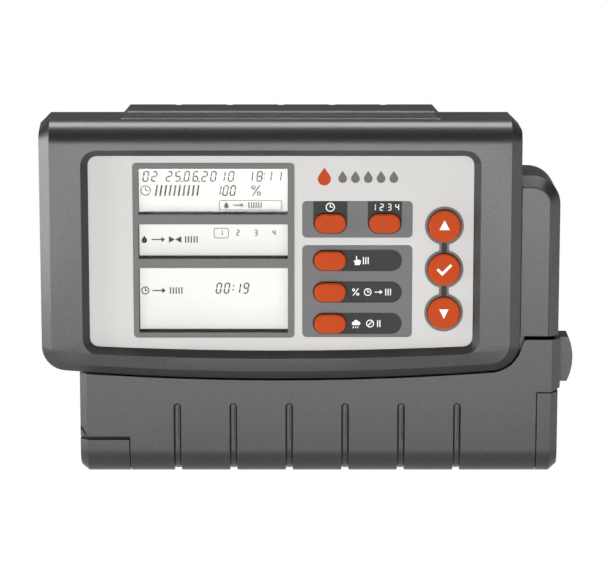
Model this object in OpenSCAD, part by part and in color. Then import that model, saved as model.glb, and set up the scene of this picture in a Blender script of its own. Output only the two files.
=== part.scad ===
// Irrigation controller for a wall: a docked control unit (display and keys)
// on a wall base with a hinged cover over the wiring terminals.
// Millimetres. +X right, +Y into the wall, +Z up. The wall is the plane y = 0
// and the origin is the middle of the wall base's back.

/* [Control unit] */
// left flank of the control unit
cu_left = -111.7; // [-125:0.1:-105]
// right flank of the control unit
cu_right = 81.0; // [70:0.1:90]
// top surface height
cu_top = 84.8; // [70:0.1:95]
// front face plane, measured out from the wall
cu_front = 41; // [38:0.5:46]
// depth of the bevelled panel recess
recess_depth = 3.7; // [2:0.1:5]

/* [Wall base] */
// half width of the wall base
base_half_w = 97.0; // [90:0.5:105]
// top edge of the wall base
base_top = 61.8; // [50:0.1:70]
// bottom edge of the wall base
base_bottom = -61.2; // [-70:0.1:-50]
// front face of the wall base, measured out from the wall
base_front = 34.5; // [30:0.5:38]
// spacing of the wall screws, across
wall_screw_x = 150; // [120:1:160]
// spacing of the wall screws, up and down
wall_screw_z = 78; // [60:1:90]
// radius of the wall screw holes
wall_screw_r = 2.3; // [1.8:0.1:3]

/* [Terminal cover] */
// radius of the rounded foot, concentric with the hinge
cover_r = 11; // [9:0.5:13]
// pitch of the grooves
groove_pitch = 22.7; // [18:0.1:26]
// first groove
groove_x0 = -57.4; // [-65:0.1:-50]
// hinge pin radius
pin_r = 2.0; // [1.5:0.1:2.5]

/* [Hidden] */
sliver = 0.01;                  // thickness of the slabs that end a hull
face_y = -cu_front;             // control unit face
panel_y = face_y + recess_depth;
wall_back_y = face_y + 6.7;     // rear of the face wall
rib_y = face_y + 9.6;           // front of the grip rib
shell_rear_y = -13.8;           // rear of the front shell
plate_y = -13.0;                // front of the back shell's plate
unit_rear_y = -10;              // rear of the control unit
glass_y = panel_y + 7.5;        // display glass face
board_y = -26.4;                // display board, front side
board_rear_y = board_y + 1.6;
parts_y = board_rear_y + 0.02;  // front end of the parts behind the display board
unit_chamfer = 4.4;
cover_gap = 1.35;               // joint between cover and control unit
base_y = -base_front;           // base face
dock_floor_y = -9.6;            // dock floor, front side
base_parts_y = -5.82;           // rear of the parts on the base board
hinge_y = base_y + cover_r;
hinge_z = base_bottom + cover_r;
hinge = [hinge_y, hinge_z];
pin_pitch = 5.08;               // terminals and dock contacts

shell_grey = [0.36,0.36,0.37];
back_grey = [0.30,0.30,0.31];
field_grey = [0.5,0.5,0.5];
key_orange = [0.81,0.31,0.13];
screw_grey = [0.62,0.62,0.62];
board_green = [0.1,0.35,0.2];
terminal_green = [0.15,0.5,0.25];
black = [0.1,0.1,0.1];
chip_black = [0.08,0.08,0.08];

// ---------------- shared shapes ----------------
function arc(centre, radius, from, to, steps, skip=0) = [for (i=[skip:steps-skip])
  let(angle = from + (to-from)*i/steps) centre + radius*[cos(angle),sin(angle)]];
// rectangle [x0,z0,x1,z1] grown on all sides
function grow(rect, by) = rect + by*[-1,-1,1,1];

// outlines in x,z pushed along y, and in y,z pushed along x
module prism_y(y0, y1)
  translate([0,y1,0]) rotate([90,0,0]) linear_extrude(height=y1-y0) children();
module prism_x(x0, x1)
  translate([x0,0,0]) rotate([90,0,90]) linear_extrude(height=x1-x0) children();
// block from its [low,high] ranges
module box(x, y, z)
  translate([x[0],y[0],z[0]]) cube([x[1]-x[0],y[1]-y[0],z[1]-z[0]]);
// cylinders along one axis; at = the other two coordinates
module rod_x(at, radius, x0, x1, sides=64)
  translate([x0,at[0],at[1]]) rotate([0,90,0]) cylinder(r=radius,h=x1-x0,$fn=sides);
module rod_y(at, radius, y0, y1, sides=40)
  translate([at[0],y1,at[1]]) rotate([90,0,0]) cylinder(r=radius,h=y1-y0,$fn=sides);
module rod_z(at, radius, z0, z1, sides=40)
  translate([at[0],at[1],z0]) cylinder(r=radius,h=z1-z0,$fn=sides);
module rods_y(points, radius, y0, y1, sides=40)
  for (p=points) rod_y(p, radius, y0, y1, sides);
// rounded rectangle with exact arcs; rect = [x0,z0,x1,z1]
module rounded_rect(rect, r, sides=32) {
  size = [rect[2]-rect[0], rect[3]-rect[1]];
  translate([rect[0]+r,rect[1]]) square([size[0]-2*r,size[1]]);
  translate([rect[0],rect[1]+r]) square([size[0],size[1]-2*r]);
  for (x=[rect[0]+r,rect[2]-r], z=[rect[1]+r,rect[3]-r]) translate([x,z]) circle(r=r,$fn=sides);
}
module cross_slot(at, length, width) {
  translate(at - [length,width]/2) square([length,width]);
  translate(at - [width,length]/2) square([width,length]);
}

// ---------------- shared places, [x,z] ----------------
case_screws_at = [[-101,75],[-40,78.6],[20,78.6],[72,75],
  [-100.5,-11.2],[-30,-15.2],[20,-15.2],[70,-6.5]];
board_screws_at = [[-76,71],[-7.5,71],[57,71],[-76,-6],[-7.5,-6],[57,-6]];
wall_screw_mid = [-3,5];
wall_screws_at = [for (i=[-1,1], j=[-1,1])
  wall_screw_mid + [i*wall_screw_x,j*wall_screw_z]/2];
guides_at = [[-62,52],[62,52],[-62,-12]];
plate_screws_at = [[-90,20],[-60,56.5],[40,56.5],[92.6,30],[68,-56.6],[-68,-56.6]];
board_posts_at = [[-58,-41],[54,-41],[-58,30],[54,30]];
clamp_screws_at = [[-52,-52.5],[52,-52.5]];
dock_pins_at = [for (i=[0:7], z=[22,26]) [10+(i-3.5)*pin_pitch,z]];
cables_x = [-45:30:45];
cable_y = -7.2;

// pill keys, [x0,z0,x1,z1]
time_pill = [-1.65,39.9,10.7,47.5];
channel_pill = [20.1,39.9,32.45,47.5];
manual_pill = [-1.9,24.7,10.75,32.3];
percent_pill = [-1.9,11.8,10.75,19.4];
rain_pill = [-1.9,-1.05,10.75,6.55];
upper_pills = [time_pill,channel_pill];
lower_pills = [manual_pill,percent_pill,rain_pill];
// round keys, from the top
round_x = 50.15;
round_r = 6.45;
round_keys_at = [[round_x,42.56],[round_x,24.95],[round_x,7.19]];
function pill_centre(rect) = [(rect[0]+rect[2])/2,(rect[1]+rect[3])/2];
key_centres = concat([for (k=concat(upper_pills,lower_pills)) pill_centre(k)], round_keys_at);

// panel openings around the key fields and outline of the display frame
upper_field = [-6.7,37.8,37.4,52.6];
lower_field = [-6.7,-2.9,37.4,34.7];
frame_rect = [-74.4,-3.07,-9.9,67.95];
// display windows, [z0,z1]
windows = [[47.12,65.57],[29.17,43.15],[-1.05,25.37]];

// ---------------- control unit: outlines ----------------
// a bow is the wide arc of a lower edge: [centre x, centre z, radius]
bow_x = -15.7;
bow_z = -20.1;
bow_r = 1140;
unit_bow = [bow_x,bow_z+bow_r,bow_r];
recess_bow = [-15.2,-11.1+1600,1600];
// corner of radius r at x that touches the bow from inside: its centre and where it touches
function bow_corner(bow, x, r) = [x, bow[1] - sqrt(pow(bow[2]-r,2) - pow(x-bow[0],2))];
function bow_angle(bow, x, r) = 270 + asin((x-bow[0])/(bow[2]-r));
function bow_arc(bow, inset, from, to, steps, skip=0) =
  arc([bow[0],bow[1]], bow[2]-inset, from, to, steps, skip);

left_r = 10;
right_r = 12;
left_corner = bow_corner(unit_bow, cu_left+left_r, left_r);
right_corner = bow_corner(unit_bow, cu_right-right_r, right_r);
left_angle = bow_angle(unit_bow, left_corner[0], left_r);
right_angle = bow_angle(unit_bow, right_corner[0], right_r);
// control unit outline, top at z = top, top corners cut by cut
function unit_outline(inset, top, cut=0) = let(x0 = cu_left+inset, x1 = cu_right-inset) concat(
  cut > 0 ? [[x0+cut,top],[x0,top-cut]] : [[x0,top]],
  arc(left_corner, left_r-inset, 180, left_angle, 9),
  bow_arc(unit_bow, inset, left_angle, right_angle, 12, 1),
  arc(right_corner, right_r-inset, right_angle, 360, 10),
  cut > 0 ? [[x1,top-cut],[x1-cut,top]] : [[x1,top]]);
// everything above the bowed lower edge
function above_bow(inset) = concat([[160,100],[-150,100]],
  bow_arc(unit_bow, inset, 262.5, 278, 14));

recess_r = 6.4; // corners of the panel recess
recess_x0 = -94.84 + recess_r;
recess_x1 = 64.5 - recess_r;
recess_z1 = 73.44 - recess_r;
recess_a0 = bow_angle(recess_bow, recess_x0, recess_r);
recess_a1 = bow_angle(recess_bow, recess_x1, recess_r);
function recess_outline(inset) = let(r = recess_r-inset) concat(
  arc([recess_x0,recess_z1], r, 90, 180, 7),
  arc(bow_corner(recess_bow, recess_x0, recess_r), r, 180, recess_a0, 7),
  bow_arc(recess_bow, inset, recess_a0, recess_a1, 10, 1),
  arc(bow_corner(recess_bow, recess_x1, recess_r), r, recess_a1, 360, 7),
  arc([recess_x1,recess_z1], r, 0, 90, 7));
// side profile of the control unit, y,z
function unit_profile(inset) = concat(
  [[face_y+inset,-40],[unit_rear_y,-40],[unit_rear_y,cu_top-inset]],
  arc([face_y+9,cu_top-9], 9-inset, 90, 180, 10));

// ---------------- control unit: shell ----------------
flare = 1.4; // the left flank flares by this much towards the back
module rear_edge(x, top)
  prism_x(x, x+sliver) polygon([[unit_rear_y-sliver,-40],[unit_rear_y,-40],
    [unit_rear_y,top],[unit_rear_y-sliver,top]]);
module unit_body() intersection() {
  // the band under the panel leans back by 1.2 mm
  hull() {
    prism_y(face_y, face_y+sliver) polygon(above_bow(8.8));
    prism_y(face_y+1.2, unit_rear_y) polygon(above_bow(0));
  }
  hull() {
    rear_edge(cu_left-flare, cu_top-unit_chamfer);
    rear_edge(cu_left+unit_chamfer-flare, cu_top);
    prism_x(cu_left, cu_left+sliver) polygon(unit_profile(unit_chamfer));
    prism_x(cu_left+unit_chamfer, cu_right-unit_chamfer) polygon(unit_profile(0));
    prism_x(cu_right-sliver, cu_right) polygon(unit_profile(unit_chamfer));
  }
  hull() {
    prism_y(face_y, face_y+sliver) polygon(unit_outline(unit_chamfer, 100));
    prism_y(face_y+unit_chamfer, unit_rear_y) polygon(unit_outline(0, 100));
    prism_y(unit_rear_y-sliver, unit_rear_y) polygon([[cu_left-flare,left_corner[1]],
      [0,left_corner[1]],[0,100],[cu_left-flare,100]]);
  }
}
module unit_slice(y0, y1) intersection() {
  unit_body();
  box([-130,100], [y0,y1], [-50,100]);
}
// grip rib along the top
module top_rib(y0, y1) intersection() {
  prism_y(y0, y1) polygon([[-79.1,cu_top-1],[48.6,cu_top-1],[48.6,cu_top],
    [45.9,cu_top+3.1],[-76.4,cu_top+3.1],[-79.1,cu_top]]);
  prism_x(-90, 60) polygon([[rib_y-0.5,cu_top-2],[rib_y-0.5,cu_top],[rib_y,cu_top+0.45],
    [rib_y+0.25,cu_top+2.45],[rib_y+0.95,cu_top+3.1],[0,cu_top+3.1],[0,cu_top-2]]);
}
module pill_openings(keys)
  for (k=keys) prism_y(-40, -30) rounded_rect(grow(k,0.3), 3.8);
module round_openings() rods_y(round_keys_at, round_r+0.3, -40, -30, 48);

module control_front_shell() color(shell_grey) difference() {
  union() {
    unit_slice(-50, shell_rear_y);
    top_rib(rib_y-0.5, shell_rear_y);
  }
  // bevelled recess for the panel
  hull() {
    prism_y(face_y-1, face_y-1+sliver) polygon(recess_outline(-0.7));
    prism_y(panel_y-sliver, panel_y) polygon(recess_outline(2.6));
  }
  prism_y(panel_y-0.1, panel_y+1.0) polygon(recess_outline(2.6));
  // hollow, around the screw bosses
  difference() {
    union() {
      prism_y(wall_back_y, 0) polygon(unit_outline(2.4, cu_top-2.4, 4));
      prism_y(face_y+2.6, wall_back_y+sliver) difference() {
        polygon(unit_outline(7.2, 77.8));
        polygon(recess_outline(-2.3));
      }
    }
    rods_y(case_screws_at, 3.1, wall_back_y-6, shell_rear_y, 32);
    rods_y(board_screws_at, 2.1, wall_back_y-1, board_y, 32);
  }
  rods_y(case_screws_at, 1.2, -30, shell_rear_y+1, 24);
  rods_y(board_screws_at, 0.95, -33.4, board_y+1, 24);
  // opening for the display frame
  box([-74.5,-9.8], [-45,-30], [-3.15,68.05]);
  pill_openings(upper_pills);
  pill_openings(lower_pills);
  round_openings();
}
module control_back_shell() color(back_grey) difference() {
  union() {
    unit_slice(plate_y, unit_rear_y+1);
    top_rib(plate_y, unit_rear_y);
    // locating lip
    difference() {
      prism_y(-16, plate_y) polygon(unit_outline(2.6, cu_top-2.6, 4));
      prism_y(-17, plate_y+1) polygon(unit_outline(4.0, cu_top-4, 4));
      rods_y(case_screws_at, 3.4, -20, plate_y, 32);
    }
    // battery box
    box([-108.2,-78.9], [-32.2,plate_y], [-1.2,57.2]);
  }
  // battery room and lid seat
  box([-107,-80.1], [-31,-8], [0,56]);
  box([-108.6,-78.5], [-11.6,-9], [-7.4,57.8]);
  // lead slot of the battery box
  box([-81,-78], [-26,-21], [51,55]);
  // notches of the grip rib
  for (i=[0:4]) let(x = -56.8+20.72*i)
    box([x-1.2,x+1.2], [unit_rear_y-1.6,unit_rear_y+1], [cu_top+1.4,cu_top+5]);
  // screws
  rods_y(case_screws_at, 1.5, -18, 0, 24);
  rods_y(case_screws_at, 2.8, -11.8, 0, 32);
  // dock opening and guide bores
  box([-10.6,30.6], [-14,0], [17.4,30.6]);
  rods_y(guides_at, 2.8, -14, 0, 32);
}
module control_seal() color([0.12,0.12,0.12])
  prism_y(shell_rear_y+0.02, plate_y-0.02) difference() {
    union() {
      polygon(unit_outline(0.5, cu_top-0.5, 4.2));
      translate([cu_left-0.7,left_corner[1]]) square([4,cu_top-5.2-left_corner[1]]);
    }
    polygon(unit_outline(2.1, cu_top-2.1, 4));
  }
module case_screws() color(screw_grey) for (p=case_screws_at) {
  difference() {
    rod_y(p, 2.5, -11.8, -10.3, 28);
    prism_y(-11.0, -9) cross_slot(p, 3, 0.7);
  }
  rod_y(p, 1.15, -27, -11.8, 20);
}

// ---------------- control unit: battery ----------------
// terminals, [x,y]
round_stud = [-99.9,-22];
hex_stud = [-87.2,-22];
module battery_lid() color(back_grey) difference() {
  box([-108.45,-78.65], [-11.5,-10.05], [-1.8,57.6]);
  // grooves
  for (i=[0:4]) box([-102,-85], [-10.5,-9], [4+2.4*i,5.2+2.4*i]);
}
module battery() color([0.15,0.15,0.16]) intersection() {
  box([-106.8,-80.3], [-30.7,-13.3], [0.8,49.3]);
  translate([0,0,0.8]) linear_extrude(height=48.5)
    rounded_rect([-106.8,-30.7,-80.3,-13.3], 2.4, 24);
}
module battery_studs() color([0.75,0.75,0.75]) {
  rod_z(round_stud, 2.9, 49.3, 51.8, 32);
  difference() {
    rod_z(hex_stud, 4.0, 49.3, 51.8, 6);
    rod_z(hex_stud, 2.95, 50, 52, 32);
  }
}
module battery_clip() color(black) difference() {
  box([-106,-81.2], [-28,-16], [51.9,53.7]);
  for (p=[round_stud,hex_stud]) rod_z(p, 1, 51, 54, 20);
}
module battery_leads() color([0.7,0.1,0.1])
  for (y=[-23.9,-22.3]) rod_x([y,52.6], 0.6, -81.1, -65.3, 16);
module battery_plug() color([0.9,0.9,0.88]) difference() {
  box([-65.2,-59], [parts_y,-20.6], [49.6,55.6]);
  box([-64.2,-60], [-21.6,-20], [50.6,54.6]);
}

// ---------------- control unit: panel and display ----------------
module round_field(inset, y0, y1) {
  half_w = 2 - inset;
  rods_y(round_keys_at, 7.8-inset, y0, y1, 48);
  box([round_x-half_w,round_x+half_w], [y0,y1], [round_keys_at[2][1],round_keys_at[0][1]]);
}
module face_panel() color([0.84,0.84,0.83]) difference() {
  prism_y(panel_y, panel_y+0.98) polygon(recess_outline(2.68));
  prism_y(-45, -30) rounded_rect(grow(frame_rect,0.05), 1.65);
  for (field=[upper_field,lower_field]) prism_y(-40, -30) rounded_rect(field, 1.8);
  round_field(0, -40, -30);
}
module key_field(field, keys) color(field_grey) difference() {
  prism_y(panel_y-0.05, panel_y+0.96) rounded_rect(grow(field,-0.05), 1.75);
  pill_openings(keys);
}
module key_field_upper() key_field(upper_field, upper_pills);
module key_field_lower() key_field(lower_field, lower_pills);
module key_field_round() color(field_grey) difference() {
  round_field(0.05, panel_y-0.05, panel_y+0.96);
  round_openings();
}
module display_frame() color([0.52,0.52,0.52]) difference() {
  union() {
    prism_y(panel_y-0.12, panel_y+0.9) rounded_rect(frame_rect, 1.6);
    box([-73.9,-10.4], [panel_y+0.5,glass_y-0.1], [-2.6,67.5]);
  }
  for (z=windows) box([-72.25,-12.5], [-45,-20], z);
}
module display_panes() color([0.8,0.9,0.85,0.35])
  for (z=windows) box([-72.2,-12.55], [panel_y+0.35,panel_y+1.15], z+[0.05,-0.05]);
module lcd_glass() color([0.86,0.9,0.84])
  box([-73.6,-10.7], [glass_y,glass_y+1.1], [-2.3,67.2]);
module lcd_rear_glass() color([0.7,0.75,0.68])
  box([-73.6,-10.7], [glass_y+1.12,glass_y+2.2], [-3.4,67.2]);
module lcd_carrier() color([0.92,0.92,0.9]) difference() {
  box([-75.4,-9.0], [glass_y-1.0,board_y-0.02], [-4.6,68.6]);
  box([-74.0,-10.3], [glass_y-2,board_y+1], [-3.7,67.6]);
  rods_y(board_screws_at, 2.3, -40, -20, 32);
}
module lcd_contact_strips() color([0.75,0.35,0.5])
  for (z=[[-3.2,-1.4],[65,66.8]]) box([-71,-13], [glass_y+2.25,board_y-0.03], z);

// ---------------- control unit: keys ----------------
// cap, raised top and rear flange: [y0, y1, growth of the outline, pill corner radius]
key_layers = [
  [panel_y-1.25, wall_back_y+0.3, 0, 3.6],
  [panel_y-1.55, panel_y-1.2, -0.45, 3.15],
  [wall_back_y+0.12, wall_back_y+1.1, 1.1, 3.8]];
module key_post(at) rod_y(at, 2.2, wall_back_y+1, -32.4, 32);
module pill_key(rect) color(key_orange) {
  for (l=key_layers) prism_y(l[0], l[1]) rounded_rect(grow(rect,l[2]), l[3]);
  key_post(pill_centre(rect));
}
module round_key(at) color(key_orange) {
  for (l=key_layers) rod_y(at, round_r+l[2], l[0], l[1], 48);
  key_post(at);
}
module key_time() pill_key(time_pill);
module key_channel() pill_key(channel_pill);
module key_manual() pill_key(manual_pill);
module key_percent() pill_key(percent_pill);
module key_rain() pill_key(rain_pill);
module key_up() round_key(round_keys_at[0]);
module key_ok() round_key(round_keys_at[1]);
module key_down() round_key(round_keys_at[2]);
module key_mat() color([0.75,0.75,0.72]) {
  difference() {
    box([-5.5,60.5], [-31.1,-30.55], [-4,52]);
    rods_y(board_screws_at, 2.4, -40, -20, 32);
  }
  rods_y(key_centres, 2.6, -31.45, -30.9, 32);
}
module key_switches() color([0.2,0.2,0.22]) for (c=key_centres) {
  box([c[0]-3,c[0]+3], [-30.2,board_y-0.02], [c[1]-3,c[1]+3]);
  rod_y(c, 1.7, -30.5, -30.1, 24);
}

// ---------------- control unit: electronics ----------------
module display_board() color(board_green) difference() {
  box([-78.3,60], [board_y,board_rear_y], [-9,74]);
  rods_y(board_screws_at, 1.2, -40, -20, 24);
  rods_y(case_screws_at, 3.4, -40, -20, 32);
}
module board_screws() color(screw_grey) for (p=board_screws_at) {
  difference() {
    rod_y(p, 2.1, board_rear_y+0.01, board_rear_y+1.5, 24);
    box([p[0]-1.4,p[0]+1.4], [board_rear_y+0.9,-20], [p[1]-0.3,p[1]+0.3]);
  }
  rod_y(p, 0.9, -32.6, board_rear_y+0.1, 18);
}
module controller_chip() color(chip_black) {
  box([-50,-38], [parts_y+0.15,parts_y+1.6], [30,42]);
  // legs
  for (i=[0:9], x=[-51.2,-38.1])
    box([x,x+1.3], [parts_y,parts_y+0.4], [31+1.05*i,31.4+1.05*i]);
}
module clock_crystal() color([0.8,0.8,0.8]) intersection() {
  box([-34,-23], [parts_y,parts_y+3.4], [32,36.6]);
  prism_y(parts_y-1, parts_y+5) rounded_rect([-34,32,-23,36.6], 2.29, 24);
}
module board_capacitors() color([0.12,0.14,0.2])
  rods_y([[-20,44],[-12,44],[42,58]], 2.5, parts_y, parts_y+6, 28);
module dock_plug() color(black) difference() {
  box([-8,28], [parts_y,-13.2], [20,28]);
  rods_y(dock_pins_at, 0.62, -21, -13, 16);
}

// ---------------- wall base: shell ----------------
wall_t = 2.2;
corner_r = 11.6; // top right corner
corner = [base_half_w-corner_r,base_top-corner_r];
strip_x = 81.2;  // left edge of the raised strip
function base_outline(inset) = let(x = base_half_w, d = inset) concat(
  [[-x+d,base_bottom+2.9+d*0.42],[-x+3.1+d*0.42,base_bottom+d],
    [x-3.1-d*0.42,base_bottom+d],[x-d,base_bottom+2.9+d*0.42]],
  arc(corner, corner_r-d, 0, 90, 12),
  arc([-x+14,base_top-14], 14-d, 90, 180, 12));
function strip_outline(inset) = concat([[strip_x,-3.25],[base_half_w-inset,-3.25]],
  arc(corner, corner_r-inset, 0, 90, 14), [[strip_x,base_top-inset]]);
// front face of the strip, inside its 4 mm chamfer
function strip_face(inset) = concat([[80.6+inset,-4.0+inset],[base_half_w-4-inset,-4.0+inset]],
  arc(corner, corner_r-4-inset, 0, 90, 12), [[80.6+inset,base_top-4-inset]]);
// corner posts, y,z: rounded towards the bottom
post_chamfer = 2.7; // at the flank edge
post_r = 11.8;      // round top of the left post, just inside the cover's swing
post_reach = 6.3;   // end of that round top behind the hinge axis
function post_foot(inset) = arc(hinge, cover_r-inset, 270, 180, 12);
function left_post(inset) = concat(
  arc(hinge, post_r, 180-acos((cover_r-inset)/post_r), 180-acos(post_reach/post_r), 5),
  [[-12,hinge_z+sqrt(post_r*post_r-post_reach*post_reach)],[-12,base_bottom+inset]],
  post_foot(inset));
function right_post(inset) = concat([[base_y+inset,-26.81],[base_y+inset+1.2,-26.3],
  [-2,-26.3],[-2,base_bottom+inset]], post_foot(inset));

module in_base_outline() intersection() {
  children();
  prism_y(-50, 5) polygon(base_outline(0));
}
module strip_room(y0, y1, inset) intersection() {
  prism_y(y0, y1) polygon(strip_outline(inset));
  box([83.4,110], [-50,10], [-1.05,90]);
}
module raised_strip() difference() {
  hull() {
    prism_y(base_y, base_y+sliver) polygon(strip_outline(4));
    prism_y(base_y+4, -2) polygon(strip_outline(0));
  }
  strip_room(base_y+5, 0, wall_t);
  strip_room(base_y+1.5, base_y+5.01, 6.6);
  prism_y(base_y-1, base_y+1.61) polygon(strip_face(0.25));
}
module wiring_room_walls() {
  x = base_half_w;
  // ceiling
  box([-94.4,83.2], [-31.9,-2], [-24,-22]);
  box([-x+1,-94.3], [-25.6,-2], [-24,-22]);
  // left side of the strip, left flank, bottom and right flank
  box([strip_x,83.2], [-31.9,-2], [-24,-1]);
  in_base_outline() box([-x,-x+wall_t], [-25.6,-2], [-60,-22]);
  in_base_outline() box([-x,x], [-20.6,-2], [base_bottom,base_bottom+2.4]);
  box([x-wall_t,x], [-27,-2], [-28,-3]);
}
// corner posts that carry the hinge
module corner_posts() {
  x = base_half_w;
  hull() {
    prism_x(-x, -x+sliver) polygon(left_post(post_chamfer));
    prism_x(-x+3.1, -77) polygon(left_post(0));
  }
  hull() {
    prism_x(x-sliver, x) polygon(right_post(post_chamfer));
    prism_x(88.5, x-3.1) polygon(right_post(0));
  }
}
// free room around the hinge axis
module hinge_room() rod_x(hinge, cover_r+0.4, -77, 88.5, 72);

module base_shell() color(shell_grey) {
  top_screws_at = [for (p=wall_screws_at) if (p[1] > wall_screw_mid[1]) p];
  difference() {
    union() {
      // outline wall of the shallow part
      prism_y(dock_floor_y, -2) difference() {
        polygon(base_outline(0));
        polygon(base_outline(wall_t));
      }
      // dock floor
      intersection() {
        prism_y(dock_floor_y, dock_floor_y+2) polygon(base_outline(0));
        box([-100,83.2], [-20,0], [-24,70]);
      }
      raised_strip();
      wiring_room_walls();
      corner_posts();
      // screw bosses and guide posts
      rods_y(top_screws_at, 6.4, dock_floor_y, -2, 48);
      rods_y(guides_at, 2.4, -16.5, dock_floor_y+1, 32);
      rods_y(plate_screws_at, 2.9, -7.8, -2, 28);
    }
    hinge_room();
    // opening for the latch button
    box([90,100], [-25.3,-12.7], [-24.1,-5.1]);
    // hinge pin bores
    rod_x(hinge, pin_r+0.02, -84, -76, 40);
    rod_x(hinge, pin_r+0.02, 88, 95, 40);
    // wall screw holes
    rods_y(top_screws_at, wall_screw_r, -12, 1, 40);
    rods_y(top_screws_at, 4.6, -12, -4.4, 40);
    // shadow gap between the left post and the cover
    translate([0,0,-46.25]) linear_extrude(height=1.2) polygon([[-98,base_y-1],
      [-76,base_y-1],[-76,base_y+4.2],[-93.2,base_y+4.2],[-96.3,base_y+7.3],[-98,base_y+7.3]]);
    // slot for the base board, opening for the dock connector
    box([-62.6,58.6], [-6.4,-3.9], [-25,-21]);
    box([-10.0,30.0], [-12,-6], [18,30]);
    // screws of the wall plate
    rods_y(plate_screws_at, 1.2, -7.2, 0, 20);
    // gap in the foot for the cable entry bar, with a groove at each end
    box([-60.1,60.1], [-22,-1], [base_bottom-1,base_bottom+3]);
    box([-61.7,61.7], [-16.2,-5.8], [base_bottom+0.6,base_bottom+1.8]);
  }
}
// bar that closes the foot between the halves of the bottom wall and carries the grommets
module cable_entry_bar() color(shell_grey) difference() {
  union() {
    box([-60,60], [-20.6,-2.05], [base_bottom,base_bottom+2.4]);
    box([-61.5,61.5], [-16,-6], [base_bottom+0.8,base_bottom+1.6]);
  }
  for (x=cables_x) rod_z([x,cable_y], 4.0, -64, -57, 32);
  hinge_room();
}
module base_face_plate() color([0.37,0.37,0.38]) prism_y(base_y, base_y+1.5) intersection() {
  polygon(strip_face(0.37));
  translate([81.35,-3.2]) square([30,80]);
}
module wall_plate() color([0.28,0.28,0.29]) difference() {
  union() {
    prism_y(-1.95, 0) polygon(base_outline(0.6));
    rods_y(board_posts_at, 2.6, -4.18, -1, 28);
    rods_y(clamp_screws_at, 3, -9.83, -1, 28);
    // tongue that the cable clamp presses against
    box([-48.5,48.5], [-4.55,-1], [-55,-50]);
  }
  rods_y(board_posts_at, 1.0, -5, -0.8, 20);
  rods_y(clamp_screws_at, 1.0, -12, -5, 20);
  rods_y(wall_screws_at, wall_screw_r, -3, 1, 40);
  rods_y(plate_screws_at, 1.5, -3, 1, 24);
  rods_y(plate_screws_at, 2.7, -1.1, 1, 28);
}
module wall_plate_screws() color(screw_grey) for (p=plate_screws_at) {
  difference() {
    rod_y(p, 2.4, -1.1, -0.1, 28);
    prism_y(-0.5, 1) cross_slot(p, 2.8, 0.6);
  }
  rod_y(p, 1.1, -6.8, -1.1, 20);
}

// ---------------- wall base: electronics ----------------
module base_board() color(board_green) difference() {
  union() {
    box([-62,58], [-5.8,-4.2], [-46,-14]);
    box([-62,58], [-5.8,-4.2], [-14.1,34]);
  }
  rods_y(board_posts_at, 1.2, -8, 0, 20);
  rods_y(concat(plate_screws_at,guides_at), 3.3, -8, 0, 24);
}
// identical screws; seat_y = rear of the head
module base_screw_set(points, seat_y) {
  rods_y(points, 2.0, seat_y-1.09, seat_y, 24);
  rods_y(points, 0.95, seat_y-0.2, seat_y+3.3, 18);
}
// four hold the base board, two the cable clamp
module base_screws() color(screw_grey) {
  base_screw_set(board_posts_at, -5.81);
  base_screw_set(clamp_screws_at, -11.01);
}
module dock_socket() color(black) difference() {
  box([-9.6,29.6], [-12.6,base_parts_y], [18.4,29.6]);
  box([-8.4,28.4], [-13,-9.4], [19.6,28.4]);
  rods_y(dock_pins_at, 0.47, -14, -5, 16);
}
module dock_contacts() color([0.85,0.7,0.3]) rods_y(dock_pins_at, 0.45, -19.5, -5.85, 16);

// terminal rows: [left end, number of terminals]
valve_row = [-52,8];
power_row = [-4,3];
sensor_row = [18,4];
terminal_z = -32.2; // screw axes
function terminal_x(row, i) = row[0] + i*pin_pitch;
module terminal_block(row) color(terminal_green) difference() {
  x = [row[0],terminal_x(row,row[1])];
  union() {
    box(x, [-21.8,base_parts_y], [-38,-27]);
    box(x, [-16,base_parts_y], [-39.2,-27.9]);
  }
  // screw wells and wire openings
  for (i=[0:row[1]-1]) {
    rod_y([terminal_x(row,i+0.5),terminal_z], 1.95, -23, -14, 24);
    box([terminal_x(row,i)+0.9,terminal_x(row,i+1)-0.9], [-14.6,-9.4], [-40,-30]);
  }
  // grooves between the terminals
  for (i=[1:row[1]-1])
    box([terminal_x(row,i)-0.18,terminal_x(row,i)+0.18], [-22.5,-20.9], [-40,-26]);
}
module valve_terminals() terminal_block(valve_row);
module power_terminals() terminal_block(power_row);
module sensor_terminals() terminal_block(sensor_row);
module terminal_screws() color([0.7,0.7,0.7])
  for (row=[valve_row,power_row,sensor_row], i=[0:row[1]-1])
    let(x = terminal_x(row,i+0.5)) difference() {
      rod_y([x,terminal_z], 1.85, -20.4, -15, 20);
      box([x-2,x+2], [-21,-19.6], [-32.5,-31.9]);
    }
module valve_triacs() color(chip_black) for (x=[-50:9:-23]) difference() {
  box([x,x+5.2], [-9.9,base_parts_y], [-45,-40.4]);
  box([x-1,x+7], [-10.5,-8.6], [-45.5,-44]);
}
fuse_axis = [-9.2,-42.8]; // y,z
module supply_fuse() color([0.8,0.85,0.85,0.6]) rod_x(fuse_axis, 2.5, 0.2, 19.8, 28);
module fuse_clips() color([0.75,0.7,0.4]) for (x=[1.5,14.5]) difference() {
  box([x,x+4], [-11.3,base_parts_y], [-45.9,-39.7]);
  rod_x(fuse_axis, 2.55, x-1, x+5, 28);
  box([x-1,x+5], [-12,-9.2], [-44.4,-41.2]);
}
module surge_varistor() color([0.15,0.25,0.5]) rod_y([50,-31.5], 4.6, -10, base_parts_y, 32);
module supply_capacitor() color([0.1,0.1,0.14])
  rod_y([-57.2,-31.5], 4.0, -18, base_parts_y, 32);
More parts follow.
